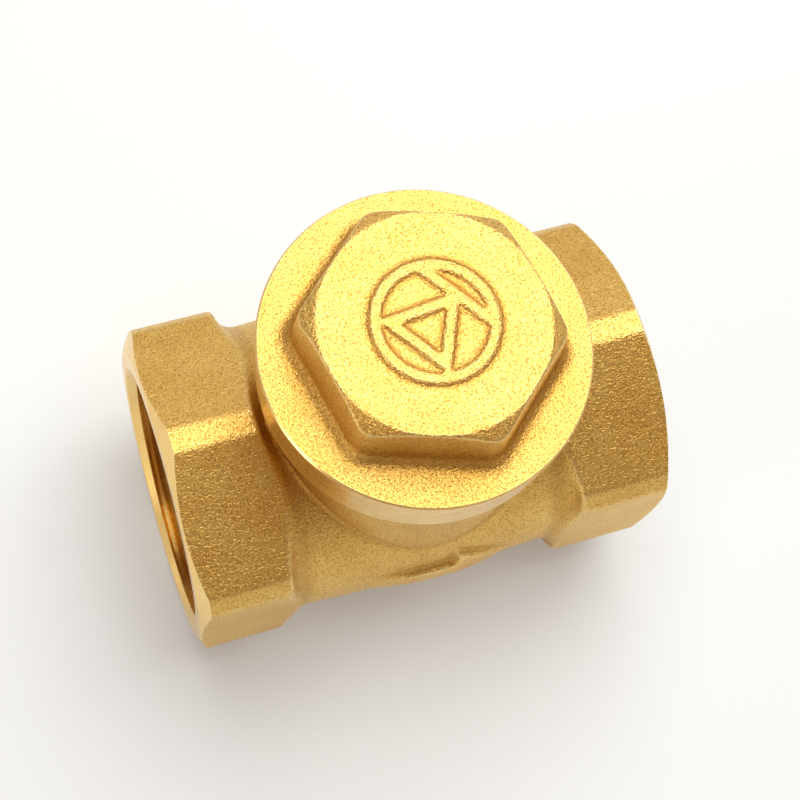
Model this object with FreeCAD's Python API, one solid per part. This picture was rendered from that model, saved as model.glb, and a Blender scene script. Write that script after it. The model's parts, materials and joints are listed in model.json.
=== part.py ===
import FreeCAD, Part
import math
import os

from FreeCAD import Vector

# Brass swing check valve with female G1 ends and a screwed bonnet. Sizes are in millimetres.
# X runs along the pipe with the flow, Z runs up the bonnet, and the two axes cross at the origin.

# Pipe ends: G1 threads (ISO 228) in hexagons whose corners are cut to narrow flats.
face_to_face = 61.8
port_thread_minor_r = 15.15
port_thread_depth = 1.47
port_thread_length = 11.9
port_wall = 2.38
corner_flat = 2.75
corner_round = 0.4
end_ring_inset = 0.4
end_chamfer_deg = 25.0
inlet_hex_length = 12.6
outlet_hex_length = 13.7

# Barrel between the hexagons, a little fuller in the middle than at its ends.
barrel_inset = 0.2
barrel_crown = 0.45
shoulder_radius = 2.8

# Flow passage and the seat, which is turned in the body from the outlet side.
port_stop_step = 1.75
disc_clear = 2.4
seat_overlap = 1.6
seat_ring_height = 1.5
seat_ring_inset = 0.2
seat_behind_hinge = 1.0
seat_gap = 0.1

# Chamber and neck under the bonnet.
chamber_extra = 0.4
chamber_depth_below_axis = 6.0
hinge_from_wall = 5.3
ledge_width = 1.7
neck_wall = 3.6
collar_wall = 3.5
collar_height = 7.4
collar_cone = 1.6

# Hinge: a loose pin that lies in two slotted lugs and is kept down by the bonnet's skirt.
pin_r = 1.5
pin_running_clear = 0.05
pin_slot_clear = 0.03
pin_end_clear = 0.85
pin_cover = 0.6
eye_wall = 1.35
eye_side_clear = 1.45
lug_gap = 1.0
lug_half_width = 3.0
lug_below_pin = 3.2
hinge_above_disc = 1.1

# Hanger arm.
arm_width = 8.0
arm_limb = 3.2
arm_boss_r = 5.4
arm_boss_thickness = 2.8
arm_play = 0.3
arm_corner_round = 1.5

# Disc, its rubber seal and the screw stack that holds them to the arm.
seal_thickness = 1.8
seal_rim_inset = 0.6
seal_stand_out = 0.5
disc_plate = 1.8
retainer_r = 5.0
retainer_thickness = 1.0
screw_r = 2.0
screw_head_r = 3.5
screw_head_height = 1.8
screw_slot_width = 1.0
screw_slot_depth = 0.9
screw_past_nut = 0.8
stack_clear = 0.03
bush_r = 2.9
bush_running_clear = 0.08
washer_r = 4.3
washer_thickness = 0.8
nut_flats = 7.0
nut_height = 3.2
nut_chamfer_deg = 30.0
edge_break = 0.25

# Bonnet: hexagon head, flange, threaded plug and a plain skirt under it.
bonnet_thread_clear = 0.05
bonnet_thread_length = 8.0
skirt_length = 4.6
skirt_clear = 0.3
skirt_wall = 2.6
crown_thickness = 4.5
flange_overhang = 0.45
flange_thickness = 1.5
flange_gap = 0.15
head_flats = 27.0
head_height = 7.2
head_turn_deg = 12.0
head_chamfer_deg = 30.0
head_top_inset = 0.22
head_corner_round = 2.0
head_foot_round = 1.2

# Raised check-valve symbol on the head: a ring around a triangle that points at a bar.
emblem_r = 7.4
emblem_line = 1.3
emblem_height = 0.35
emblem_bar_x = 3.4
emblem_bar_length = 9.6
emblem_turn_deg = 36.0

# Flat gasket in a counterbore of the neck.
gasket_width = 1.6
gasket_thickness = 1.5
gasket_clear = 0.1
gasket_floor_gap = 0.05

# Raised flow arrow on the side of the barrel, highest in its middle and fading at both ends.
arrow_length = 20.0
arrow_ahead = 0.6
arrow_head_length = 8.0
arrow_head_width = 9.0
arrow_shaft_width = 4.0
arrow_height = 1.0
arrow_end_height = 0.2

# Sizes that follow from those above.
port_thread_major_r = port_thread_minor_r + port_thread_depth
end_x = face_to_face / 2
hex_flats = 2 * (port_thread_major_r + port_wall)
corner_distance = hex_flats / math.sqrt(3) - corner_flat / 2 / math.tan(math.radians(60))
port_floor_x = end_x - port_thread_depth - port_thread_length
barrel_mid_r = hex_flats / 2 - barrel_inset
barrel_end_r = barrel_mid_r - barrel_crown

outlet_r = port_thread_minor_r - port_stop_step
disc_r = outlet_r - disc_clear
seat_bore_r = disc_r - seat_overlap
seat_ring_r = disc_r - seat_ring_inset
chamber_r = outlet_r + chamber_extra
bonnet_thread_r = chamber_r + ledge_width

eye_r = pin_r + eye_wall
hinge_x = -(chamber_r - hinge_from_wall)
hinge_z = disc_r + eye_r + hinge_above_disc
eye_half_width = math.sqrt(chamber_r ** 2 - (eye_r - hinge_x) ** 2) - eye_side_clear
lug_inner_y = eye_half_width + lug_gap
pin_half_length = math.sqrt(bonnet_thread_r ** 2 - (pin_r - hinge_x) ** 2) - pin_end_clear

ledge_z = hinge_z + pin_r + pin_cover
skirt_bottom_z = ledge_z + skirt_clear
thread_bottom_z = skirt_bottom_z + skirt_length
gasket_floor_z = thread_bottom_z + bonnet_thread_length
flange_bottom_z = gasket_floor_z + gasket_floor_gap + gasket_thickness
flange_top_z = flange_bottom_z + flange_thickness
head_top_z = flange_top_z + head_height
emblem_top_z = head_top_z + emblem_height
neck_top_z = flange_bottom_z - flange_gap
neck_r = chamber_r + neck_wall
collar_r = bonnet_thread_r + collar_wall
flange_r = collar_r + flange_overhang

seat_x = hinge_x - seat_behind_hinge
seal_face_x = seat_x + seat_gap
seal_back_x = seal_face_x + seal_thickness
disc_back_x = seal_back_x + disc_plate
boss_x = disc_back_x + arm_play
washer_x = boss_x + arm_boss_thickness + arm_play
nut_x = washer_x + washer_thickness
screw_end_x = nut_x + nut_height + screw_past_nut
retainer_x = seal_face_x - retainer_thickness
screw_head_x = retainer_x - screw_head_height

along_x = Vector(1, 0, 0)
along_y = Vector(0, 1, 0)
along_z = Vector(0, 0, 1)
origin = Vector(0, 0, 0)

# Tools run past the surface they cut by this much, and edges are told apart to this closeness.
overrun = 1.0
closeness = 0.01


def rod_x(radius, x0, x1, z=0.0):
    return Part.makeCylinder(radius, x1 - x0, Vector(x0, 0, z), along_x)


def rod_y(radius, half_length, x, z):
    return Part.makeCylinder(radius, 2 * half_length, Vector(x, -half_length, z), along_y)


def rod_z(radius, z0, z1):
    return Part.makeCylinder(radius, z1 - z0, Vector(0, 0, z0), along_z)


def block(x0, x1, y0, y1, z0, z1):
    return Part.makeBox(x1 - x0, y1 - y0, z1 - z0, Vector(x0, y0, z0))


def hexagon(flats, start_deg, corner):
    # Six points at the corners of a hexagon, each placed by the function it is given.
    radius = flats / math.sqrt(3)
    turns = [math.radians(start_deg + 60 * i) for i in range(6)]
    points = [corner(radius * math.cos(a), radius * math.sin(a)) for a in turns]
    return Part.Face(Part.makePolygon(points + points[:1]))


def largest_solid(shape):
    return max(shape.Solids, key=lambda solid: solid.Volume)


def outer_skin():
    # One turned outline for both chamfered ends, both shoulders and the crowned barrel.
    chamfer = math.tan(math.radians(end_chamfer_deg))
    ring_r = hex_flats / 2 - end_ring_inset
    wide_r = corner_distance + shoulder_radius
    chamfer_x = end_x - (wide_r - ring_r) * chamfer
    half_reach = shoulder_radius * math.sin(math.radians(45))
    half_rise = shoulder_radius - half_reach
    # A shoulder crosses the flats a set distance in from the end, which is the hexagon's length.
    flat_sweep = math.acos(1 - (hex_flats / 2 - barrel_end_r) / shoulder_radius)
    flat_reach = shoulder_radius * math.sin(flat_sweep)
    left_x = -(end_x - inlet_hex_length) + flat_reach
    right_x = end_x - outlet_hex_length - flat_reach

    def at(x, r):
        return Vector(x, 0, r)

    def arc(a, b, c):
        return Part.Arc(at(*a), at(*b), at(*c)).toShape()

    left_foot = (left_x, barrel_end_r)
    right_foot = (right_x, barrel_end_r)
    left_head = (left_x - shoulder_radius, barrel_end_r + shoulder_radius)
    right_head = (right_x + shoulder_radius, barrel_end_r + shoulder_radius)
    edges = [
        Part.makeLine(at(-end_x, 0), at(-end_x, ring_r)),
        Part.makeLine(at(-end_x, ring_r), at(-chamfer_x, wide_r)),
        Part.makeLine(at(-chamfer_x, wide_r), at(left_head[0], wide_r)),
        Part.makeLine(at(left_head[0], wide_r), at(*left_head)),
        arc(left_head, (left_x - half_reach, barrel_end_r + half_rise), left_foot),
        arc(left_foot, ((left_x + right_x) / 2, barrel_mid_r), right_foot),
        arc(right_foot, (right_x + half_reach, barrel_end_r + half_rise), right_head),
        Part.makeLine(at(*right_head), at(right_head[0], wide_r)),
        Part.makeLine(at(right_head[0], wide_r), at(chamfer_x, wide_r)),
        Part.makeLine(at(chamfer_x, wide_r), at(end_x, ring_r)),
        Part.makeLine(at(end_x, ring_r), at(end_x, 0)),
        Part.makeLine(at(end_x, 0), at(-end_x, 0)),
    ]
    return Part.Face(Part.Wire(edges)).revolve(origin, along_x, 360)


def hex_bar():
    # Hexagonal bar with a corner straight up, its six corners cut to flats and softened.
    bar = hexagon(hex_flats, 90, lambda y, z: Vector(-end_x, y, z)).extrude(Vector(2 * end_x, 0, 0))
    cut = hexagon(2 * corner_distance, 60, lambda y, z: Vector(-end_x, y, z))
    bar = bar.common(cut.extrude(Vector(2 * end_x, 0, 0)))
    long_edges = [e for e in bar.Edges if abs(e.Length - 2 * end_x) < closeness]
    return bar.makeFillet(corner_round, long_edges)


def flow_arrow():
    # Raised arrow on the -Y side of the barrel, pointing along the flow.
    tail = arrow_ahead - arrow_length / 2
    tip = arrow_ahead + arrow_length / 2
    neck = tip - arrow_head_length
    outline = [
        (tail, -arrow_shaft_width / 2),
        (neck, -arrow_shaft_width / 2),
        (neck, -arrow_head_width / 2),
        (tip, 0),
        (neck, arrow_head_width / 2),
        (neck, arrow_shaft_width / 2),
        (tail, arrow_shaft_width / 2),
    ]
    top_r = barrel_mid_r + arrow_height
    points = [Vector(x, -top_r, z) for x, z in outline]
    prism = Part.Face(Part.makePolygon(points + points[:1])).extrude(Vector(0, top_r - outlet_r, 0))

    # The arrow's face is an arc along the pipe, turned about the pipe's axis.
    end_r = barrel_end_r + arrow_end_height
    left = Vector(tail, 0, end_r)
    right = Vector(tip, 0, end_r)
    face = Part.Arc(left, Vector(arrow_ahead, 0, top_r), right).toShape()
    sides = Part.makePolygon([right, Vector(tip, 0, 0), Vector(tail, 0, 0), left])
    crown = Part.Face(Part.Wire([face] + sides.Edges)).revolve(origin, along_x, 360)
    return prism.common(crown)


def make_body():
    run = hex_bar().common(outer_skin())
    neck = rod_z(neck_r, 0, neck_top_z)
    collar_z = neck_top_z - collar_height
    cone = Part.makeCone(neck_r, collar_r, collar_cone, Vector(0, 0, collar_z), along_z)
    collar = rod_z(collar_r, collar_z + collar_cone, neck_top_z)
    body = run.fuse([neck, cone, collar, flow_arrow()]).removeSplitter()

    # The chamber is bored down the neck and the passage is bored in from the outlet.
    pocket_x = seat_x - seat_ring_height
    cavity = rod_z(chamber_r, -chamber_depth_below_axis, ledge_z)
    cavity = cavity.common(block(pocket_x, end_x, -end_x, end_x, -end_x, hinge_z - lug_below_pin).fuse(
        rod_z(chamber_r, hinge_z - lug_below_pin, ledge_z)))
    cavity = cavity.fuse(rod_x(outlet_r, pocket_x, port_floor_x + overrun))
    cavity = cavity.fuse(rod_z(bonnet_thread_r, ledge_z, gasket_floor_z))
    gasket_pocket_r = bonnet_thread_r + gasket_width + 2 * gasket_clear
    cavity = cavity.fuse(rod_z(gasket_pocket_r, gasket_floor_z, neck_top_z + overrun))
    ring = rod_x(seat_ring_r, pocket_x - overrun, seat_x)
    cavity = cavity.cut(ring)
    for side in (-1, 1):
        inner_y = side * lug_inner_y
        outer_y = side * bonnet_thread_r
        lug = block(hinge_x - lug_half_width, hinge_x + lug_half_width, min(inner_y, outer_y),
                    max(inner_y, outer_y), hinge_z - lug_below_pin, ledge_z)
        cavity = cavity.cut(lug)
    slot_r = pin_r + pin_slot_clear
    slot_half = pin_half_length + pin_slot_clear
    cavity = cavity.fuse(rod_y(slot_r, slot_half, hinge_x, hinge_z))
    cavity = cavity.fuse(block(hinge_x - slot_r, hinge_x + slot_r, -slot_half, slot_half, hinge_z, ledge_z))
    body = body.cut(cavity)

    # Each port is a threaded bore behind a 45 degree countersink.
    body = body.cut(rod_x(seat_bore_r, -end_x, seat_x + overrun))
    for side in (-1, 1):
        out = Vector(side, 0, 0)
        floor = Vector(side * port_floor_x, 0, 0)
        mouth = Vector(side * (end_x - port_thread_depth), 0, 0)
        body = body.cut(Part.makeCylinder(port_thread_minor_r, end_x - port_floor_x, floor, out))
        sink = Part.makeCone(port_thread_minor_r, port_thread_major_r, port_thread_depth, mouth, out)
        body = body.cut(sink)
    return largest_solid(body.removeSplitter())


def edge_broken(rod, size):
    # A plain rod with both of its round edges chamfered.
    return rod.makeChamfer(size, [e for e in rod.Edges if e.Closed and len(e.Vertexes) == 1])


def make_hinge_pin():
    return edge_broken(rod_y(pin_r, pin_half_length, hinge_x, hinge_z), 0.2 * pin_r)


def make_arm():
    # An elbow: out over the disc from the hinge eye, then down to the boss behind the disc.
    limb_z = hinge_z - arm_limb / 2
    far_x = boss_x + arm_boss_thickness
    half = arm_width / 2
    arm = block(hinge_x, far_x, -half, half, limb_z, limb_z + arm_limb)
    arm = arm.fuse(block(boss_x, far_x, -half, half, 0, limb_z + arm_limb)).removeSplitter()
    corner = [e for e in arm.Edges if abs(e.BoundBox.XMin - far_x) < closeness
              and abs(e.BoundBox.XMax - far_x) < closeness
              and abs(e.BoundBox.ZMin - limb_z - arm_limb) < closeness and e.BoundBox.YLength > half]
    arm = arm.makeFillet(arm_corner_round, corner)
    arm = arm.fuse([rod_y(eye_r, eye_half_width, hinge_x, hinge_z), rod_x(arm_boss_r, boss_x, far_x)])
    arm = arm.cut(rod_y(pin_r + pin_running_clear, bonnet_thread_r, hinge_x, hinge_z))
    arm = arm.cut(rod_x(bush_r + bush_running_clear, boss_x - overrun, far_x + overrun))
    return largest_solid(arm.removeSplitter())


def make_disc():
    disc = edge_broken(rod_x(disc_r, seal_face_x + seal_stand_out, disc_back_x), edge_break)
    disc = disc.cut(rod_x(disc_r - seal_rim_inset, seal_face_x, seal_back_x))
    return disc.cut(rod_x(screw_r + stack_clear, seal_face_x, disc_back_x + overrun))


def ring_x(outer_r, x0, x1, break_size=0.0):
    # A ring that slides over the disc screw.
    ring = rod_x(outer_r, x0, x1)
    if break_size:
        ring = edge_broken(ring, break_size)
    return ring.cut(rod_x(screw_r + stack_clear, x0 - overrun, x1 + overrun))


def make_disc_screw():
    head = edge_broken(rod_x(screw_head_r, screw_head_x, retainer_x), edge_break)
    shank = edge_broken(rod_x(screw_r, retainer_x - edge_break, screw_end_x), edge_break)
    slot = block(screw_head_x - overrun, screw_head_x + screw_slot_depth, -screw_head_r, screw_head_r,
                 -screw_slot_width / 2, screw_slot_width / 2)
    return largest_solid(head.fuse(shank).cut(slot).removeSplitter())


def make_disc_nut():
    # A hexagon nut whose corners are chamfered down to the width across flats.
    nut = hexagon(nut_flats, 0, lambda y, z: Vector(nut_x, y, z)).extrude(Vector(nut_height, 0, 0))
    wide_r = nut_flats / 2 + nut_height / 2 / math.tan(math.radians(nut_chamfer_deg))
    middle = Vector(nut_x + nut_height / 2, 0, 0)
    for start_x, out in ((nut_x, along_x), (nut_x + nut_height, -along_x)):
        cone = Part.makeCone(nut_flats / 2, wide_r, nut_height / 2, Vector(start_x, 0, 0), out)
        nut = nut.common(cone.fuse(Part.makeCylinder(wide_r, nut_height / 2, middle, out)))
    bore = rod_x(screw_r + stack_clear, nut_x - overrun, nut_x + nut_height + overrun)
    return nut.removeSplitter().cut(bore)


def make_bonnet_head():
    # The hexagon is topped by a turned chamfer and blends into the flange at its foot.
    start = head_turn_deg + 30
    head = hexagon(head_flats, start, lambda x, y: Vector(x, y, flange_top_z))
    head = head.extrude(Vector(0, 0, head_height))
    upright = [e for e in head.Edges if abs(e.Length - head_height) < closeness
               and e.BoundBox.ZLength > head_height / 2]
    head = head.makeFillet(head_corner_round, upright)
    top_r = head_flats / 2 - head_top_inset
    slope = math.tan(math.radians(head_chamfer_deg))
    foot_r = top_r + head_height / slope
    return head.common(Part.makeCone(foot_r, top_r, head_height, Vector(0, 0, flange_top_z), along_z))


def make_emblem():
    # The symbol stands on the head and reaches into it, so the two fuse.
    root_z = head_top_z - emblem_height
    height = 2 * emblem_height
    ring = rod_z(emblem_r, root_z, emblem_top_z)
    ring = ring.cut(rod_z(emblem_r - emblem_line, root_z - overrun, emblem_top_z + overrun))
    bar = block(emblem_bar_x, emblem_bar_x + emblem_line, -emblem_bar_length / 2, emblem_bar_length / 2,
                root_z, emblem_top_z)

    def triangle(inset, z0, z1):
        # Its tip touches the bar and its base stands as far behind the middle as the bar is ahead.
        tip_x = emblem_bar_x - 2 * inset
        base_x = -emblem_bar_x + inset
        half = (tip_x - base_x) / math.sqrt(3)
        points = [Vector(tip_x, 0, z0), Vector(base_x, half, z0), Vector(base_x, -half, z0)]
        return Part.Face(Part.makePolygon(points + points[:1])).extrude(Vector(0, 0, z1 - z0))

    outline = triangle(-emblem_line / 2, root_z, emblem_top_z)
    outline = outline.cut(triangle(emblem_line / 2, root_z - overrun, emblem_top_z + overrun))
    emblem = ring.fuse([bar, outline]).common(rod_z(emblem_r, root_z, root_z + height))
    emblem.rotate(origin, along_z, emblem_turn_deg)
    return emblem


def make_bonnet():
    plug_r = bonnet_thread_r - bonnet_thread_clear
    skirt_outer_r = plug_r - bonnet_thread_clear
    bonnet = rod_z(flange_r, flange_bottom_z, flange_top_z).fuse(make_bonnet_head()).removeSplitter()
    foot = [e for e in bonnet.Edges if abs(e.BoundBox.ZMin - flange_top_z) < closeness
            and e.BoundBox.ZLength < closeness and e.BoundBox.XLength < 2 * head_flats / math.sqrt(3)]
    bonnet = bonnet.makeFillet(head_foot_round, foot)
    bonnet = bonnet.fuse([rod_z(plug_r, thread_bottom_z, flange_bottom_z),
                          rod_z(skirt_outer_r, skirt_bottom_z, thread_bottom_z), make_emblem()])
    hollow = rod_z(skirt_outer_r - skirt_wall, skirt_bottom_z - overrun, flange_bottom_z - crown_thickness)
    return largest_solid(bonnet.cut(hollow).removeSplitter())


def make_gasket():
    inner_r = bonnet_thread_r + gasket_clear
    bottom_z = flange_bottom_z - gasket_thickness
    ring = rod_z(inner_r + gasket_width, bottom_z, flange_bottom_z)
    return ring.cut(rod_z(inner_r, bottom_z - overrun, flange_bottom_z + overrun))


parts = {
    "body": make_body(),
    "hinge_pin": make_hinge_pin(),
    "hanger_arm": make_arm(),
    "disc": make_disc(),
    "disc_seal": ring_x(disc_r - seal_rim_inset - stack_clear, seal_face_x, seal_back_x),
    "seal_retainer": ring_x(retainer_r, retainer_x, seal_face_x, edge_break),
    "disc_screw": make_disc_screw(),
    "pivot_bush": ring_x(bush_r, disc_back_x, washer_x),
    "disc_washer": ring_x(washer_r, washer_x, nut_x, edge_break / 2),
    "disc_nut": make_disc_nut(),
    "bonnet": make_bonnet(),
    "bonnet_gasket": make_gasket(),
}

os.makedirs("parts", exist_ok=True)
for node, shape in parts.items():
    shape.exportStep("parts/" + node + ".step")
    box = shape.BoundBox
    print(node, len(shape.Solids), shape.isValid(), round(shape.Volume, 1),
          [round(v, 2) for v in (box.XMin, box.XMax, box.YMin, box.YMax, box.ZMin, box.ZMax)])
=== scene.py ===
import json
import math

import bmesh
import bpy
import numpy as np
from mathutils import Matrix, Vector


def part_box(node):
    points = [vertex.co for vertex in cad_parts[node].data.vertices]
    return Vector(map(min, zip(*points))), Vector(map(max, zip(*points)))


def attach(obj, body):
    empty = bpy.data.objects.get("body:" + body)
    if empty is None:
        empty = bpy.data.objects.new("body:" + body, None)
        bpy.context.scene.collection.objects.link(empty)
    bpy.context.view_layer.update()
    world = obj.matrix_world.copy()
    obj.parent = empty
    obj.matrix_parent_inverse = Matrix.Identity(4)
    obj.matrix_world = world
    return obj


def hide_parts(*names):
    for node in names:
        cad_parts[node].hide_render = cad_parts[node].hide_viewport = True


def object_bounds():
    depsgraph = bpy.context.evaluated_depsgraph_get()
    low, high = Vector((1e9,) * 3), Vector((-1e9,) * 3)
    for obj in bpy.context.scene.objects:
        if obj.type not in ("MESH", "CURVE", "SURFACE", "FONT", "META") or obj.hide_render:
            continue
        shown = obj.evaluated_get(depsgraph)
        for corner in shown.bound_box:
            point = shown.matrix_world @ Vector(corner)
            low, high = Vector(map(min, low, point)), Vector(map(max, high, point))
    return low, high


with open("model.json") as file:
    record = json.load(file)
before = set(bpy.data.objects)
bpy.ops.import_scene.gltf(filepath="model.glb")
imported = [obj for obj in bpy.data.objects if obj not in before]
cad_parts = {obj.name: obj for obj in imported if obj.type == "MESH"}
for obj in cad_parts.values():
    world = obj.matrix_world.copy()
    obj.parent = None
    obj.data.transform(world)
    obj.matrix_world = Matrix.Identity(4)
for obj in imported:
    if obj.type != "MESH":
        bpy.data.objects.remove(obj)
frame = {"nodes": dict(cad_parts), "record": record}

cad_low, cad_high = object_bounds()

# The body is one hot-forged piece of brass: a hexagonal bar at each end, a full round barrel between
# them and a neck on top. Forging leaves every edge and crease softly rounded and the skin is blasted
# with shot, so the blank is made first, melted together and softened, and only then machined.
mm = 0.001
body_low, body_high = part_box("body")
end_x = body_high.x
half_flats = body_high.y
neck_top = body_high.z
corner_height = -body_low.z
machining_stock = 0.6 * mm
forging_grain = 0.36 * mm
forging_softness = 5
clear_of_body = 24 * mm

barrel_inset = 0.65 * mm
barrel_end_r = half_flats - barrel_inset
barrel_crown = 0.45 * mm
shoulder_round = 2.8 * mm
shoulder_foot = {-1: 16.51 * mm, 1: 15.41 * mm}
neck_r = 17.4 * mm
collar_r = 19.0 * mm
collar_height = 7.4 * mm
collar_foot = neck_top - collar_height
collar_cone = 1.6 * mm

arrow_middle = 0.6 * mm
arrow_half = 10 * mm
arrow_head = 8 * mm
arrow_head_half = 4.5 * mm
arrow_shaft_half = 2 * mm
arrow_depth = 8 * mm
arrow_r = -body_low.y
arrow_end_height = 0.2 * mm
arrow_end_r = barrel_end_r + arrow_end_height


class Signal:
    # A value that varies over a surface. Sums with it add Math nodes to its finish.
    def __init__(self, finish, socket):
        self.finish = finish
        self.socket = socket

    def sum(self, operation, a, b):
        return self.finish.node("ShaderNodeMath", {"operation": operation}, [a, b])

    def __add__(self, other):
        return self.sum("ADD", self, other)

    def __radd__(self, other):
        return self.sum("ADD", other, self)

    def __sub__(self, other):
        return self.sum("SUBTRACT", self, other)

    def __rsub__(self, other):
        return self.sum("SUBTRACT", other, self)

    def __mul__(self, other):
        return self.sum("MULTIPLY", self, other)

    def __rmul__(self, other):
        return self.sum("MULTIPLY", other, self)

    def __pow__(self, other):
        return self.sum("POWER", self, other)


class Finish:
    # A surface finish: one Principled shader and the patterns in the piece's own place that feed it.
    def __init__(self, name, metallic=0.0):
        self.material = bpy.data.materials.new(name)
        self.material.use_nodes = True
        self.tree = self.material.node_tree
        self.shader = self.tree.nodes["Principled BSDF"]
        self.shader.inputs["Metallic"].default_value = metallic
        self.place = self.node("ShaderNodeTexCoord", output="Object")

    def node(self, kind, settings=None, sockets=(), output=0):
        made = self.tree.nodes.new(kind)
        for setting, value in (settings or {}).items():
            setattr(made, setting, value)
        named = sockets.items() if isinstance(sockets, dict) else enumerate(sockets)
        for key, value in named:
            self.join(value, made.inputs[key])
        return Signal(self, made.outputs[output])

    def join(self, value, socket):
        if isinstance(value, Signal):
            self.tree.links.new(value.socket, socket)
        else:
            socket.default_value = value

    def noise(self, size, detail=2.0, roughness=0.5):
        # Mottling whose patches are about the given size across.
        pattern = {"Vector": self.place, "Scale": 1 / size, "Detail": detail, "Roughness": roughness}
        return self.node("ShaderNodeTexNoise", None, pattern, "Fac")

    def step(self, value, start, end):
        # Rises from 0 to 1 as the value goes from start to end, in either direction.
        return self.node("ShaderNodeMapRange", None, {"Value": value, "From Min": start, "From Max": end})

    def mix(self, share, first, second):
        return self.node("ShaderNodeMix", {"data_type": "RGBA"}, {0: share, 6: first, 7: second}, 2)

    def surface(self, colour, roughness, relief, depth):
        self.join(colour, self.shader.inputs["Base Color"])
        self.join(roughness, self.shader.inputs["Roughness"])
        bump = self.node("ShaderNodeBump", None, {"Height": relief, "Distance": depth})
        self.join(bump, self.shader.inputs["Normal"])
        return self.material


def blasted_brass(name):
    # Shot leaves a grain of small craters, brown in the pits, and the edges are worn pale. Painted shade
    # darkens the creases and painted glints brighten the highest grain. Broad clouds of a deeper gold lie
    # under the grain.
    deep_gold = (0.75, 0.47, 0.11, 1)
    gold = (0.80, 0.54, 0.145, 1)
    pit_brown = (0.38, 0.150, 0.022, 1)
    # Painted light: a brown for shade in the creases and a pale gold for glints on the grain.
    crease_shade_brown = (0.46, 0.22, 0.035, 1)
    glint_gold = (0.95, 0.77, 0.38, 1)
    worn_gold = (0.93, 0.72, 0.33, 1)
    crater_depth = 0.12 * mm
    finish = Finish(name, metallic=1.0)
    grain = finish.noise(0.25 * mm, 2.0, 0.6)
    craters = finish.noise(0.60 * mm, 2.0, 0.6)
    clouds = finish.noise(6 * mm, 2.0, 0.5)
    bend = finish.node("ShaderNodeAttribute", {"attribute_name": "bend"}, output="Fac")
    pits = finish.step(grain, 0.50, 0.34) * 0.70
    # Painted shade: the creases turn brown.
    painted_crease_shade = finish.step(bend, 0.5, 0.34) * 0.55
    crest = finish.step(bend + (grain - 0.5) * 0.3, 0.62, 0.92) * 0.45
    # Painted glints: the highest grain turns pale gold.
    painted_glints = finish.step(grain, 0.58, 0.72) * 0.35
    colour = finish.mix(finish.step(clouds, 0.35, 0.65), deep_gold, gold)
    colour = finish.mix(pits, colour, pit_brown)
    colour = finish.mix(painted_crease_shade, colour, crease_shade_brown)
    colour = finish.mix(painted_glints, colour, glint_gold)
    colour = finish.mix(crest, colour, worn_gold)
    roughness = 0.40 - (grain - 0.5) * 0.28 - crest * 0.18
    return finish.surface(colour, roughness, grain + craters * 0.6, crater_depth)


def turned_metal(name, pale, deep, axis, centre=(0, 0, 0), shine=0.26):
    # Bright metal straight from the lathe: fine uneven rings round its axis and faint stains.
    feed_width = 0.16 * mm
    band_width = 0.9 * mm
    feed_depth = 0.012 * mm
    finish = Finish(name, metallic=1.0)
    place = finish.node("ShaderNodeVectorMath", {"operation": "SUBTRACT"}, [finish.place, centre])
    split = finish.node("ShaderNodeSeparateXYZ", None, [place])
    spread = [Signal(finish, socket) for socket in split.socket.node.outputs]
    along = spread.pop("XYZ".index(axis))
    radius = (spread[0] ** 2.0 + spread[1] ** 2.0) ** 0.5
    lay = radius + along * 0.6
    feed = finish.node("ShaderNodeTexNoise", {"noise_dimensions": "1D"},
                       {"W": lay, "Scale": 1 / feed_width, "Detail": 2.0}, "Fac")
    bands = finish.node("ShaderNodeTexNoise", {"noise_dimensions": "1D"},
                        {"W": lay, "Scale": 1 / band_width, "Detail": 1.0}, "Fac")
    stain = finish.noise(3.5 * mm, 3.0, 0.6)
    colour = finish.mix(finish.step(stain, 0.35, 0.75) * 0.45 + feed * 0.3, pale, deep)
    roughness = shine + (bands - 0.5) * 0.16 + (stain - 0.5) * 0.14
    return finish.surface(colour, roughness, feed + bands * 0.5, feed_depth)


forged_skin = blasted_brass("forged_brass_skin")
pale_brass = (0.93, 0.66, 0.25, 1)
deep_brass = (0.78, 0.48, 0.14, 1)
turned_on_run = turned_metal("turned_brass_run", pale_brass, deep_brass, "X")
turned_on_neck = turned_metal("turned_brass_neck", pale_brass, deep_brass, "Z")


def outline(shape, points, loop=False):
    corners = [shape.verts.new(point) for point in points]
    for a, b in zip(corners, corners[1:] + corners[:1] if loop else corners[1:]):
        shape.edges.new((a, b))
    return corners


def turned(points, axis, steps=144, loop=False):
    # Spins an outline of (along, radius) points round an axis. The outline starts and ends on the
    # axis, or is a loop for a ring.
    along = Vector(axis)
    out = Vector((0, 0, 1)) if axis[0] else Vector((1, 0, 0))
    shape = bmesh.new()
    outline(shape, [along * a + out * r for a, r in points], loop)
    bmesh.ops.spin(shape, geom=shape.verts[:] + shape.edges[:], cent=(0, 0, 0), axis=axis, angle=math.tau,
                   steps=steps, use_merge=True)
    bmesh.ops.remove_doubles(shape, verts=shape.verts[:], dist=1e-7)
    bmesh.ops.recalc_face_normals(shape, faces=shape.faces[:])
    return shape


def push(shape, faces, reach):
    # Extrudes faces along a vector and returns the corners and the faces that were moved. A face
    # that already closed a solid would be left inside it, so it goes.
    buried = [face for face in faces if all(len(edge.link_faces) > 1 for edge in face.edges)]
    pushed = bmesh.ops.extrude_face_region(shape, geom=faces)["geom"]
    moved = [part for part in pushed if isinstance(part, bmesh.types.BMVert)]
    bmesh.ops.translate(shape, verts=moved, vec=reach)
    bmesh.ops.delete(shape, geom=buried, context="FACES_ONLY")
    caps = [part for part in pushed if isinstance(part, bmesh.types.BMFace) and set(part.verts) <= set(moved)]
    return moved, caps


def prism(points, reach):
    shape = bmesh.new()
    push(shape, [shape.faces.new([shape.verts.new(point) for point in points])], reach)
    bmesh.ops.recalc_face_normals(shape, faces=shape.faces[:])
    return shape


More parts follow.
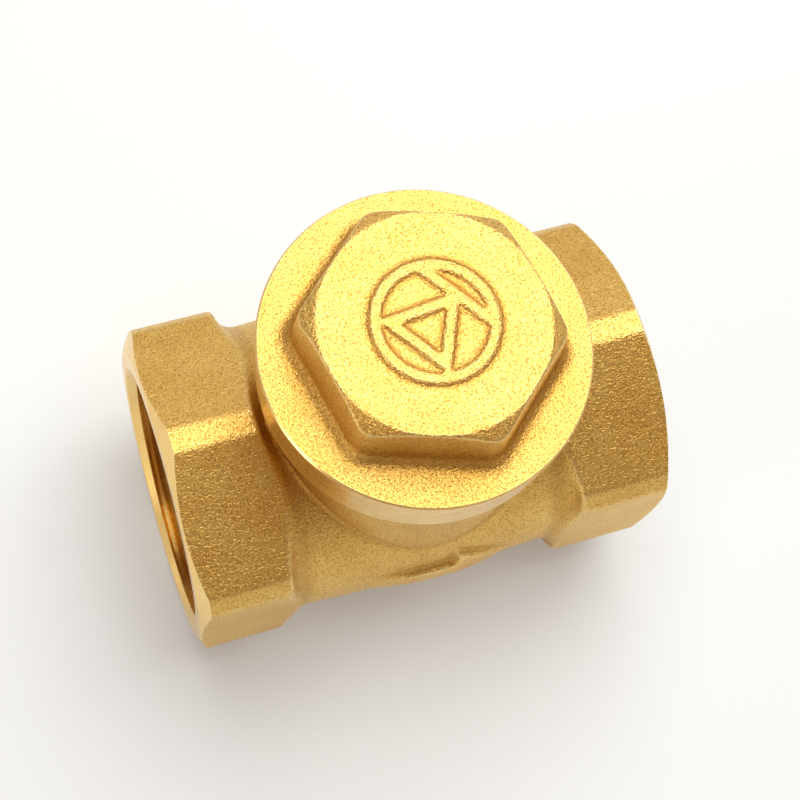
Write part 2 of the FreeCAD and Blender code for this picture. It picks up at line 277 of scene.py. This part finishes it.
def place(shape, name, finish=None):
    mesh = bpy.data.meshes.new(name)
    shape.to_mesh(mesh)
    shape.free()
    if finish:
        mesh.materials.append(finish)
    piece = bpy.data.objects.new(name, mesh)
    bpy.context.scene.collection.objects.link(piece)
    return piece


def settle(piece):
    # Turns what the modifiers make into the piece's own mesh.
    graph = bpy.context.evaluated_depsgraph_get()
    shaped = bpy.data.meshes.new_from_object(piece.evaluated_get(graph), depsgraph=graph)
    piece.modifiers.clear()
    piece.data = shaped
    return piece


def combine(piece, tool, operation):
    # A surface that a tool leaves takes the tool's finish.
    step = piece.modifiers.new(operation, "BOOLEAN")
    step.operation = operation
    step.solver = "EXACT"
    step.material_mode = "TRANSFER"
    step.object = tool
    settle(piece)
    bpy.data.objects.remove(tool)
    return piece


def forge(parts, name, grain, passes, finish):
    # Melts overlapping solids into one skin and softens its edges.
    blank = bmesh.new()
    for part in parts:
        blank.from_mesh(part.data)
        bpy.data.objects.remove(part)
    piece = place(blank, name)
    melt = piece.modifiers.new("melt", "REMESH")
    melt.mode = "VOXEL"
    melt.voxel_size = grain
    soften = piece.modifiers.new("soften", "SMOOTH")
    soften.factor = 0.5
    soften.iterations = passes
    settle(piece)
    piece.data.materials.clear()
    piece.data.materials.append(finish)
    return piece


def hexagonal_bar():
    # A corner points straight up, and each corner is cut to a narrow flat.
    shape = bmesh.new()
    sharp_r = 2 * half_flats / math.sqrt(3)
    bmesh.ops.create_circle(shape, cap_ends=True, segments=6, radius=sharp_r)
    bmesh.ops.bevel(shape, geom=shape.verts[:], affect="VERTICES", offset=2 * (sharp_r - corner_height),
                    segments=1, profile=0.5, material=-1)
    upright = Matrix.Rotation(math.radians(90), 4, "Y") @ Matrix.Rotation(math.radians(30), 4, "Z")
    bmesh.ops.transform(shape, matrix=upright, verts=shape.verts[:])
    far = end_x + machining_stock
    bmesh.ops.translate(shape, verts=shape.verts[:], vec=(-far, 0, 0))
    push(shape, shape.faces[:], (2 * far, 0, 0))
    bmesh.ops.recalc_face_normals(shape, faces=shape.faces[:])
    return shape


def run_outline():
    # The outline that the forging die gives the run: two shoulders and a crowned barrel.
    far = end_x + 2 * machining_stock
    bends = 12

    def shoulder(side):
        turns = [math.radians(90) * i / bends for i in range(1, bends + 1)]
        return [(side * (shoulder_foot[side] + shoulder_round * math.sin(turn)),
                 barrel_end_r + shoulder_round * (1 - math.cos(turn))) for turn in turns]

    barrel = []
    for i in range(-bends, bends + 1):
        share = i / bends
        foot = shoulder_foot[1 if share > 0 else -1]
        barrel.append((share * foot, barrel_end_r + barrel_crown * (1 - share * share)))
    left = shoulder(-1)
    right = shoulder(1)
    outer_left = [(-far, 0), (-far, clear_of_body), (left[-1][0], clear_of_body)]
    outer_right = [(right[-1][0], clear_of_body), (far, clear_of_body), (far, 0)]
    return outer_left + left[::-1] + barrel + right + outer_right


def flow_arrow():
    # It stands highest in its middle and fades into the barrel at both ends.
    tail = arrow_middle - arrow_half
    tip = arrow_middle + arrow_half
    barb = tip - arrow_head
    corners = [(tail, -arrow_shaft_half), (barb, -arrow_shaft_half), (barb, -arrow_head_half), (tip, 0),
               (barb, arrow_head_half), (barb, arrow_shaft_half), (tail, arrow_shaft_half)]
    arrow = place(prism([(x, -clear_of_body, z) for x, z in corners], (0, arrow_depth, 0)), "arrow")
    crown = [(tail, 0)]
    bends = 10
    for i in range(-bends, bends + 1):
        share = i / bends
        crown_r = arrow_end_r + (arrow_r - arrow_end_r) * (1 - share * share)
        crown.append((arrow_middle + share * arrow_half, crown_r))
    return combine(arrow, place(turned(crown + [(tip, 0)], (1, 0, 0)), "crown"), "INTERSECT")


bar = place(hexagonal_bar(), "bar")
combine(bar, place(turned(run_outline(), (1, 0, 0)), "run_die"), "INTERSECT")
collar_blank_r = collar_r + machining_stock
neck_outline = [(0, 0), (0, neck_r), (collar_foot, neck_r), (collar_foot + collar_cone, collar_blank_r),
                (neck_top + machining_stock, collar_blank_r), (neck_top + machining_stock, 0)]
neck = place(turned(neck_outline, (0, 0, 1)), "neck")
body = forge([bar, neck, flow_arrow()], "valve_body", forging_grain, forging_softness,
             forged_skin)

# The lathe faces and chamfers both ends, bores and threads the ports, turns the neck, bores the
# chamber down through it to the hinge lugs, and leaves a raised seat facing the outlet.
ports = {m["name"]: m for m in frame["record"]["mounts"] if m["kind"] == "threaded_hole"}
port_r = ports["inlet_port"]["dims"]["r_mm"] * mm
port_length = ports["inlet_port"]["dims"]["length_mm"] * mm
port_mouth = abs(ports["inlet_port"]["pos_m"][0])
port_floor = port_mouth - port_length
port_pitch = 25.4 / 11 * mm
port_thread_depth = 1.45 * mm
thread_start = 1.5 * mm
end_ring_r = half_flats - 0.4 * mm
end_chamfer = math.tan(math.radians(25))

pin_low, pin_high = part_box("hinge_pin")
pin_r = (pin_high.z - pin_low.z) / 2
hinge_x = pin_high.x - pin_r
hinge_z = pin_high.z - pin_r
pin_cover = 0.6 * mm
ledge_z = pin_high.z + pin_cover
seat_behind_hinge = 1.0 * mm
seat_x = hinge_x - seat_behind_hinge
seat_ring_height = 1.5 * mm
pocket_x = seat_x - seat_ring_height
seat_bore_r = 9.4 * mm
seat_ring_r = 10.8 * mm
outlet_r = 13.4 * mm
chamber_r = 13.8 * mm
chamber_floor = -6 * mm
bonnet_bore_r = 15.5 * mm
gasket_low, gasket_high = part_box("bonnet_gasket")
gasket_floor_gap = 0.05 * mm
gasket_floor = gasket_low.z - gasket_floor_gap
gasket_clear = 0.1 * mm
gasket_bore_r = gasket_high.x + gasket_clear
lug_inner_y = 7.3 * mm
lug_half_width = 3 * mm
lug_below_pin = 3.2 * mm
lug_low = hinge_z - lug_below_pin
pin_gap = 0.03 * mm
overcut = 2 * mm
far_off = 30 * mm
bonnet_pitch = 1.5 * mm
bonnet_thread_depth = 0.8 * mm


def mirrored_x(shape):
    bmesh.ops.scale(shape, vec=(-1, 1, 1), verts=shape.verts[:])
    bmesh.ops.reverse_faces(shape, faces=shape.faces[:])
    return shape


def box_between(low, high):
    shape = bmesh.new()
    bmesh.ops.create_cube(shape, size=1)
    bmesh.ops.scale(shape, vec=[b - a for a, b in zip(low, high)], verts=shape.verts[:])
    bmesh.ops.translate(shape, vec=[(a + b) / 2 for a, b in zip(low, high)], verts=shape.verts[:])
    return shape


def thread_groove(root_r, depth, pitch, start, turns, axis, steps=90):
    # One tooth of a thread form swept along its helix, to be cut out of a bore, or, with a negative
    # depth, out of a rod. It runs a little past the crest, and its widths are shares of the pitch.
    along = Vector(axis)
    out = Vector((0, 0, 1)) if axis[0] else Vector((1, 0, 0))
    past_crest = 1.25
    open_share = 0.46
    root_share = 0.10
    half_open = open_share * pitch * past_crest
    half_root = root_share * pitch
    crest_r = root_r - depth * past_crest
    form = [(-half_open, crest_r), (-half_root, root_r), (half_root, root_r), (half_open, crest_r)]
    shape = bmesh.new()
    outline(shape, [along * (start + a) + out * r for a, r in form], loop=True)
    bmesh.ops.spin(shape, geom=shape.verts[:] + shape.edges[:], cent=(0, 0, 0), axis=axis,
                   angle=math.tau * turns, steps=round(steps * turns), dvec=along * pitch / steps)
    bmesh.ops.holes_fill(shape, edges=[e for e in shape.edges if e.is_boundary])
    bmesh.ops.recalc_face_normals(shape, faces=shape.faces[:])
    return shape


def end_tool():
    # A lathe tool's sweep that faces the end and leaves its chamfer.
    wide_r = corner_height + overcut
    chamfer_x = end_x - (wide_r - end_ring_r) * end_chamfer
    far = end_x + overcut
    return turned([(end_x, 0), (end_x, end_ring_r), (chamfer_x, wide_r), (chamfer_x, wide_r + overcut),
                   (far, wide_r + overcut), (far, 0)], (1, 0, 0), 192)


def port_tool():
    mouth_r = port_r + (end_x - port_mouth)
    return turned([(port_floor, 0), (port_floor, port_r), (port_mouth, port_r), (end_x, mouth_r),
                   (end_x + overcut, mouth_r + overcut), (end_x + overcut, 0)], (1, 0, 0), 192)


for tool in (end_tool, port_tool):
    combine(body, place(tool(), "tool", turned_on_run), "DIFFERENCE")
    combine(body, place(mirrored_x(tool()), "tool", turned_on_run), "DIFFERENCE")

skin_left_on_collar = 0.5 * mm
tool_low = collar_foot + skin_left_on_collar
tool_top = neck_top + overcut
neck_tool = place(turned([(tool_low, 0), (tool_low, far_off), (tool_top, far_off), (tool_top, 0)], (0, 0, 1)),
                  "neck_tool", turned_on_neck)
neck_edge = 0.2 * mm
neck_keep = turned([(tool_low - overcut, 0), (tool_low - overcut, collar_r), (neck_top - neck_edge, collar_r),
                    (neck_top, collar_r - neck_edge), (neck_top, 0)], (0, 0, 1), 192)
combine(neck_tool, place(neck_keep, "keep", turned_on_neck), "DIFFERENCE")
combine(body, neck_tool, "DIFFERENCE")

chamber_profile = [(chamber_floor, 0), (chamber_floor, chamber_r), (ledge_z, chamber_r),
                   (ledge_z, bonnet_bore_r), (gasket_floor, bonnet_bore_r), (gasket_floor, gasket_bore_r),
                   (tool_top, gasket_bore_r), (tool_top, 0)]
chamber = place(turned(chamber_profile, (0, 0, 1)), "chamber", turned_on_neck)
seat_wall = box_between((-far_off, -far_off, -far_off), (pocket_x, far_off, lug_low))
combine(chamber, place(seat_wall, "wall"), "DIFFERENCE")
for side in (-1, 1):
    near, far = sorted((side * lug_inner_y, side * far_off))
    lug = box_between((hinge_x - lug_half_width, near, lug_low), (hinge_x + lug_half_width, far, ledge_z))
    combine(chamber, place(lug, "lug", turned_on_neck), "DIFFERENCE")
slot_r = pin_r + pin_gap
slot_half = pin_high.y + pin_gap
slot = box_between((hinge_x - slot_r, -slot_half, hinge_z), (hinge_x + slot_r, slot_half, ledge_z + pin_gap))
combine(chamber, place(slot, "slot", turned_on_neck), "UNION")
pin_bed = turned([(-slot_half, 0), (-slot_half, slot_r), (slot_half, slot_r), (slot_half, 0)], (0, 1, 0), 48)
bmesh.ops.translate(pin_bed, vec=(hinge_x, 0, hinge_z), verts=pin_bed.verts[:])
combine(chamber, place(pin_bed, "bed", turned_on_neck), "UNION")
into_port = 0.5 * mm
passage_end = port_floor + into_port
passage = turned([(pocket_x, 0), (pocket_x, outlet_r), (passage_end, outlet_r), (passage_end, 0)], (1, 0, 0))
combine(chamber, place(passage, "passage", turned_on_run), "UNION")
seat_root = pocket_x - overcut
seat_ring = turned([(seat_root, 0), (seat_root, seat_ring_r), (seat_x, seat_ring_r), (seat_x, 0)], (1, 0, 0))
combine(chamber, place(seat_ring, "seat", turned_on_run), "DIFFERENCE")
inlet_start = -port_floor - 2 * into_port
inlet_bore = turned([(inlet_start, 0), (inlet_start, seat_bore_r), (seat_x + overcut, seat_bore_r),
                     (seat_x + overcut, 0)], (1, 0, 0))
combine(chamber, place(inlet_bore, "inlet", turned_on_run), "UNION")
combine(body, chamber, "DIFFERENCE")

port_turns = (port_length - thread_start) / port_pitch + 1
for half_turn in (0, math.pi):
    groove = thread_groove(port_r + port_thread_depth, port_thread_depth, port_pitch,
                           port_floor + thread_start, port_turns, (1, 0, 0))
    bmesh.ops.rotate(groove, cent=(0, 0, 0), matrix=Matrix.Rotation(half_turn, 3, "Z"), verts=groove.verts[:])
    combine(body, place(groove, "thread", turned_on_run), "DIFFERENCE")
groove_start = ledge_z + overcut
groove = thread_groove(bonnet_bore_r + bonnet_thread_depth, bonnet_thread_depth, bonnet_pitch, groove_start,
                       (gasket_floor - groove_start) / bonnet_pitch + 1, (0, 0, 1))
combine(body, place(groove, "thread", turned_on_neck), "DIFFERENCE")


def shade(piece, skin=None, crisp_deg=18):
    # Forged skin, if the piece has any, is smooth all over. Every other surface has crisp edges.
    shape = bmesh.new()
    shape.from_mesh(piece.data)
    crisp = math.radians(crisp_deg)
    for face in shape.faces:
        face.smooth = True
    for edge in shape.edges:
        machined = any(face.material_index != skin for face in edge.link_faces)
        edge.smooth = not (machined and edge.calc_face_angle(math.pi) > crisp)
    shape.to_mesh(piece.data)
    shape.free()


def mark_bends(piece, gain=5.0, passes=3):
    # Stores how the skin bends at each point: 0.5 is flat, more stands out and less is a crease.
    flat = 0.5
    mesh = piece.data
    count = len(mesh.vertices)
    spots = np.empty(count * 3)
    mesh.vertices.foreach_get("co", spots)
    facing = np.empty(count * 3)
    mesh.vertex_normals.foreach_get("vector", facing)
    ends = np.empty(len(mesh.edges) * 2, dtype=int)
    mesh.edges.foreach_get("vertices", ends)
    spots, facing, ends = spots.reshape(-1, 3), facing.reshape(-1, 3), ends.reshape(-1, 2)
    first, second = ends[:, 0], ends[:, 1]
    way = spots[first] - spots[second]
    way /= np.maximum(np.linalg.norm(way, axis=1), 1e-9)[:, None]
    near = np.maximum(np.bincount(ends.ravel(), minlength=count), 1)
    bend = np.bincount(first, (way * facing[first]).sum(1), count)
    bend = bend - np.bincount(second, (way * facing[second]).sum(1), count)
    bend = np.clip(flat + gain * bend / near, 0, 1)
    for _ in range(passes):
        shared = np.bincount(first, bend[second], count) + np.bincount(second, bend[first], count)
        bend = 0.5 * bend + 0.5 * shared / near
    mesh.attributes.new("bend", "FLOAT", "POINT").data.foreach_set("value", bend)


shade(body, skin=0)
mark_bends(body)
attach(body, "housing")
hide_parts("body")

# The hinge pin is a plain stainless rod, cut to length and chamfered, that lies loose in the slots
# of the two lugs.
bright_steel = (0.66, 0.65, 0.62, 1)
dull_steel = (0.47, 0.46, 0.44, 1)


def refinish(node, finish):
    # A carried-over part takes a finish in each of its material slots.
    mesh = frame["nodes"][node].data
    for slot in range(len(mesh.materials)):
        mesh.materials[slot] = finish
    if not mesh.materials:
        mesh.materials.append(finish)


pin_steel = turned_metal("pin_steel", bright_steel, dull_steel, "Y", (hinge_x, 0, hinge_z), 0.22)
refinish("hinge_pin", pin_steel)

# The hanger arm is cast brass: an elbow with an eye for the pin and a round boss for the disc. Its
# cast skin is softened like the body's, at a finer scale.
arm_grain = 0.2 * mm
arm_softness = 3
arm_blank = bmesh.new()
arm_blank.from_mesh(frame["nodes"]["hanger_arm"].data)
bmesh.ops.remove_doubles(arm_blank, verts=arm_blank.verts[:], dist=1e-6)
arm = forge([place(arm_blank, "arm_blank")], "cast_arm", arm_grain, arm_softness, forged_skin)
shade(arm, skin=0)
mark_bends(arm)
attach(arm, "clapper")
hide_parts("hanger_arm")

# The disc is turned brass with a shallow tray on its front, and it carries a moulded rubber seal
# whose raised land meets the seat.
refinish("disc", turned_on_run)
seal_low, seal_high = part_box("disc_seal")
screw_low, screw_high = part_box("disc_screw")
retainer_low, retainer_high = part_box("seal_retainer")
seal_r = seal_high.y
seal_hole_r = 2.03 * mm
seal_edge = 0.25 * mm
land_inner_r = 7.4 * mm
groove_depth = 0.2 * mm
retainer_clear = 0.2 * mm
retainer_r = retainer_high.y + retainer_clear
seal_profile = [(seal_high.x, seal_hole_r), (seal_low.x, seal_hole_r), (seal_low.x, retainer_r),
                (seal_low.x + groove_depth, retainer_r + groove_depth),
                (seal_low.x + groove_depth, land_inner_r - groove_depth), (seal_low.x, land_inner_r),
                (seal_low.x, seal_r - seal_edge), (seal_low.x + seal_edge / 3, seal_r - seal_edge / 3),
                (seal_low.x + seal_edge, seal_r), (seal_high.x, seal_r)]


def moulded(name, base, deep, roughness, grain, depth):
    # A moulded or pressed surface: a fine matt grain, with faint flow marks.
    finish = Finish(name)
    fine = finish.noise(grain, 3.0, 0.6)
    flow = finish.noise(4 * mm, 2.0, 0.5)
    colour = finish.mix(finish.step(flow + (fine - 0.5) * 0.4, 0.35, 0.65), base, deep)
    return finish.surface(colour, roughness + (flow - 0.5) * 0.2, fine, depth)


black_rubber = moulded("black_rubber", (0.022, 0.021, 0.020, 1), (0.038, 0.036, 0.034, 1), 0.62,
                       0.18 * mm, 0.02 * mm)
seal = place(turned(seal_profile, (1, 0, 0), 120, loop=True), "rubber_seal", black_rubber)
shade(seal)
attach(seal, "disc_pack")
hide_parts("disc_seal")

# A slotted stainless screw with a cheese head clamps the seal, the retainer and the disc against the
# bush, and a nut on its thread holds the stack to the arm.
stack_steel = turned_metal("stack_steel", bright_steel, dull_steel, "X", shine=0.24)
for node in ("seal_retainer", "disc_washer", "disc_nut"):
    refinish(node, stack_steel)
refinish("pivot_bush", turned_on_run)
head_r = screw_high.y
shank_r = 2 * mm
screw_edge = 0.25 * mm
slot_half_width = 0.5 * mm
slot_depth = 0.9 * mm
screw_pitch = 0.7 * mm
screw_thread_depth = 0.38 * mm
screw_profile = [(screw_low.x, 0), (screw_low.x, head_r - screw_edge), (screw_low.x + screw_edge, head_r),
                 (retainer_low.x - screw_edge, head_r), (retainer_low.x, head_r - screw_edge),
                 (retainer_low.x, shank_r), (screw_high.x - screw_edge, shank_r),
                 (screw_high.x, shank_r - screw_edge), (screw_high.x, 0)]
screw = place(turned(screw_profile, (1, 0, 0), 72), "slotted_screw", stack_steel)
screw_slot = box_between((screw_low.x - overcut, -2 * head_r, -slot_half_width),
                         (screw_low.x + slot_depth, 2 * head_r, slot_half_width))
combine(screw, place(screw_slot, "slot", stack_steel), "DIFFERENCE")
thread_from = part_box("disc_washer")[1].x
screw_groove = thread_groove(shank_r - screw_thread_depth, -screw_thread_depth, screw_pitch, thread_from,
                             (screw_high.x - thread_from) / screw_pitch + 1, (1, 0, 0), 48)
combine(screw, place(screw_groove, "thread", stack_steel), "DIFFERENCE")
for face in screw.data.polygons:
    face.material_index = 0
shade(screw)
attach(screw, "disc_pack")
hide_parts("disc_screw")

# The bonnet is one forging: a hexagon head with a turned chamfer, standing on a round flange, with a
# raised check-valve symbol on top. Its rim, its thread and its plain skirt are turned.
bonnet_low, bonnet_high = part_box("bonnet")
flange_r = bonnet_high.x
flange_bottom = gasket_high.z
flange_thickness = 1.5 * mm
flange_top = flange_bottom + flange_thickness
emblem_height = 0.35 * mm
head_top = bonnet_high.z - emblem_height
head_half_flats = 13.5 * mm
head_turn = math.radians(12)
head_corner_cut = 1.3 * mm
head_foot_round = 1.6 * mm
head_draft = 0.2 * mm
head_top_inset = 0.22 * mm
head_top_r = head_half_flats - head_top_inset
head_slope = math.tan(math.radians(30))
bonnet_grain = 0.2 * mm
bonnet_softness = 6


def bonnet_head():
    # The foot flares into the flange, and the sides lean in a little towards the top.
    shape = bmesh.new()
    bmesh.ops.create_circle(shape, cap_ends=True, segments=6, radius=2 * head_half_flats / math.sqrt(3))
    bmesh.ops.bevel(shape, geom=shape.verts[:], affect="VERTICES", offset=head_corner_cut, segments=6,
                    profile=0.5, material=-1)
    bmesh.ops.rotate(shape, cent=(0, 0, 0), matrix=Matrix.Rotation(head_turn, 3, "Z"), verts=shape.verts[:])
    bmesh.ops.translate(shape, vec=(0, 0, flange_bottom + machining_stock), verts=shape.verts[:])
    levels = [(flange_bottom + machining_stock, head_half_flats)]
    bends = 6
    for i in range(bends + 1):
        turn = math.radians(90) * i / bends
        levels.append((flange_top + head_foot_round * (1 - math.cos(turn)),
                       head_half_flats + head_draft + head_foot_round * (1 - math.sin(turn))))
    levels.append((head_top, head_half_flats - head_draft))
    faces = shape.faces[:]
    for (low, before), (high, after) in zip(levels, levels[1:]):
        moved, faces = push(shape, faces, (0, 0, high - low))
        bmesh.ops.scale(shape, vec=(after / before, after / before, 1), verts=moved)
    bmesh.ops.recalc_face_normals(shape, faces=shape.faces[:])
    head = place(shape, "head")
    foot_r = head_top_r + (head_top - flange_bottom) / head_slope
    cone = [(flange_bottom, 0), (flange_bottom, foot_r), (head_top, head_top_r), (head_top, 0)]
    return combine(head, place(turned(cone, (0, 0, 1)), "cone"), "INTERSECT")


emblem_r = 7.4 * mm
emblem_line = 1.3 * mm
emblem_sunk = 0.5 * mm
emblem_root = head_top - emblem_sunk
emblem_top = head_top + emblem_height
bar_x = 3.4 * mm
bar_half = 4.8 * mm
emblem_turn = math.radians(36)


def check_symbol():
    # A ring round a triangle that points at a bar.
    ring_profile = [(emblem_root, emblem_r - emblem_line), (emblem_root, emblem_r), (emblem_top, emblem_r),
                    (emblem_top, emblem_r - emblem_line)]
    ring = turned(ring_profile, (0, 0, 1), loop=True)
    stop = box_between((bar_x, -bar_half, emblem_root), (bar_x + emblem_line, bar_half, emblem_top))
    tip_x = bar_x + emblem_line
    base_x = -bar_x - emblem_line / 2
    sharp_r = (tip_x - base_x) * 2 / 3
    triangle = bmesh.new()
    bmesh.ops.create_circle(triangle, cap_ends=True, segments=3, radius=sharp_r)
    inner = triangle.faces[:]
    bmesh.ops.inset_region(triangle, faces=inner, thickness=emblem_line, use_boundary=True,
                           use_even_offset=True)
    bmesh.ops.delete(triangle, geom=inner, context="FACES_ONLY")
    bmesh.ops.rotate(triangle, cent=(0, 0, 0), matrix=Matrix.Rotation(-math.pi / 2, 3, "Z"),
                     verts=triangle.verts[:])
    bmesh.ops.translate(triangle, vec=(tip_x - sharp_r, 0, emblem_root), verts=triangle.verts[:])
    push(triangle, triangle.faces[:], (0, 0, emblem_top - emblem_root))
    bmesh.ops.recalc_face_normals(triangle, faces=triangle.faces[:])
    marks = []
    for name, shape in (("ring", ring), ("stop", stop), ("triangle", triangle)):
        bmesh.ops.rotate(shape, cent=(0, 0, 0), matrix=Matrix.Rotation(emblem_turn, 3, "Z"),
                         verts=shape.verts[:])
        marks.append(place(shape, name))
    return marks


blank_r = flange_r + machining_stock
flange_blank = turned([(flange_bottom - machining_stock, 0), (flange_bottom - machining_stock, blank_r),
                       (flange_top, blank_r), (flange_top, 0)], (0, 0, 1))
bonnet = forge([place(flange_blank, "flange"), bonnet_head()] + check_symbol(), "bonnet_cap", bonnet_grain,
               bonnet_softness, forged_skin)

rim_edge = 0.22 * mm
rim_keep = [(flange_bottom, 0), (flange_bottom, flange_r - rim_edge), (flange_bottom + rim_edge, flange_r),
            (flange_top - rim_edge, flange_r), (flange_top + rim_edge, flange_r - 2 * rim_edge),
            (head_top + overcut, flange_r - 2 * rim_edge), (head_top + overcut, 0)]
combine(bonnet, place(turned(rim_keep, (0, 0, 1), 192), "rim", turned_on_neck), "INTERSECT")

plug_clear = 0.05 * mm
plug_r = bonnet_bore_r - plug_clear
skirt_r = plug_r - plug_clear
skirt_wall = 2.6 * mm
skirt_bore_r = skirt_r - skirt_wall
skirt_bottom = bonnet_low.z
skirt_length = 4.6 * mm
thread_bottom = skirt_bottom + skirt_length
crown_thickness = 4.5 * mm
crown_z = flange_bottom - crown_thickness
plug_edge = 0.4 * mm
plug_overlap = 0.5 * mm
plug_profile = [(crown_z, 0), (crown_z, skirt_bore_r), (skirt_bottom, skirt_bore_r),
                (skirt_bottom, skirt_r - plug_edge), (skirt_bottom + plug_edge, skirt_r),
                (thread_bottom, skirt_r), (thread_bottom, plug_r), (flange_bottom + plug_overlap, plug_r),
                (flange_bottom + plug_overlap, 0)]
plug = place(turned(plug_profile, (0, 0, 1)), "plug", turned_on_neck)
plug_groove = thread_groove(plug_r - bonnet_thread_depth, -bonnet_thread_depth, bonnet_pitch, thread_bottom,
                            (gasket_low.z - thread_bottom) / bonnet_pitch, (0, 0, 1))
combine(plug, place(plug_groove, "thread", turned_on_neck), "DIFFERENCE")
combine(bonnet, plug, "UNION")
shade(bonnet, skin=0)
mark_bends(bonnet)
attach(bonnet, "bonnet")
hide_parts("bonnet")

# The gasket is a flat ring cut from white PTFE sheet, lying in its own recess under the flange.
white_ptfe = moulded("white_ptfe", (0.80, 0.79, 0.75, 1), (0.70, 0.69, 0.64, 1), 0.45, 0.25 * mm, 0.01 * mm)
gasket_hole_r = bonnet_bore_r + gasket_clear
gasket_r = gasket_high.x
gasket_edge = 0.15 * mm
gasket_profile = [(gasket_low.z, gasket_hole_r), (gasket_low.z, gasket_r - gasket_edge),
                  (gasket_low.z + gasket_edge, gasket_r), (gasket_high.z - gasket_edge, gasket_r),
                  (gasket_high.z, gasket_r - gasket_edge), (gasket_high.z, gasket_hole_r)]
gasket = place(turned(gasket_profile, (0, 0, 1), loop=True), "ptfe_gasket", white_ptfe)
shade(gasket)
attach(gasket, "gasket")
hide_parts("bonnet_gasket")

# The valve stands on a plain pale table that sweeps up to a low wall all round. A broad soft lamp hangs
# overhead, a dim one stands behind and a small one at the inlet. The sweep glows a little, more so
# away from the valve.
sweep_r = 1.2
sweep_rise = 0.6
sweep_bends = 8
sweep = [(cad_low.z, 0), (cad_low.z, sweep_r)]
for i in range(1, sweep_bends + 1):
    turn = math.radians(90) * i / sweep_bends
    sweep.append((cad_low.z + sweep_rise * (1 - math.cos(turn)), sweep_r + sweep_rise * math.sin(turn)))
table = bmesh.new()
outline(table, [(r, 0, z) for z, r in sweep])
bmesh.ops.spin(table, geom=table.verts[:] + table.edges[:], cent=(0, 0, 0), axis=(0, 0, 1), angle=math.tau,
               steps=96, use_merge=True)
bmesh.ops.remove_doubles(table, verts=table.verts[:], dist=1e-6)
bmesh.ops.recalc_face_normals(table, faces=table.faces[:])
if sum(face.normal.z * face.calc_area() for face in table.faces) < 0:
    bmesh.ops.reverse_faces(table, faces=table.faces[:])
table_finish = Finish("table_top")
table_tone = table_finish.mix(table_finish.noise(200 * mm), (0.64, 0.67, 0.69, 1), (0.66, 0.69, 0.71, 1))
table_finish.surface(table_tone, 0.8, table_finish.noise(2 * mm), 0.01 * mm)
distance = table_finish.node("ShaderNodeVectorMath", {"operation": "LENGTH"}, [table_finish.place], "Value")
glow = table_finish.mix(table_finish.step(distance, 0.25, 0.9), (0.17, 0.18, 0.19, 1), (0.46, 0.47, 0.48, 1))
table_finish.join(glow, table_finish.shader.inputs["Emission Color"])
table_finish.shader.inputs["Emission Strength"].default_value = 1.0
table = place(table, "table", table_finish.material)
for face in table.data.polygons:
    face.use_smooth = True


def lamp(name, towards, distance, size, power, colour):
    light = bpy.data.lights.new(name, "AREA")
    light.size = size
    light.energy = power
    light.color = colour
    holder = bpy.data.objects.new(name, light)
    holder.location = Vector(towards).normalized() * distance
    holder.rotation_mode = "QUATERNION"
    holder.rotation_quaternion = holder.location.to_track_quat("Z", "Y")
    bpy.context.scene.collection.objects.link(holder)


lamp("overhead", (0.19, 0.25, 0.95), 0.5, 0.52, 3.6, (0.97, 1.0, 0.96))
lamp("behind", (0.2, 0.93, 0.3), 0.6, 0.4, 0.06, (1.0, 0.96, 0.9))
lamp("inlet_side", (-0.90, -0.20, 0.30), 0.6, 0.22, 0.55, (1.0, 0.97, 0.85))
studio = bpy.data.worlds.new("studio")
studio.use_nodes = True
studio.node_tree.nodes["Background"].inputs["Color"].default_value = (1.0, 0.42, 0.19, 1)
studio.node_tree.nodes["Background"].inputs["Strength"].default_value = 0.20
bpy.context.scene.world = studio
bpy.context.scene.view_settings.view_transform = "Standard"

lens = bpy.data.cameras.new("camera")
lens.lens = 82.31
lens.sensor_width = 36
viewpoint = Vector((-0.048925, -0.061516, 0.225425))
forward = Vector((0.21446, 0.27269, -0.93790))
up = Vector((0.24672, 0.91397, 0.32215))
right = forward.cross(up).normalized()
camera = bpy.data.objects.new("camera", lens)
bpy.context.scene.collection.objects.link(camera)
camera.matrix_world = Matrix.Translation(viewpoint) @ Matrix((right, up, -forward)).transposed().to_4x4()
bpy.context.scene.camera = camera
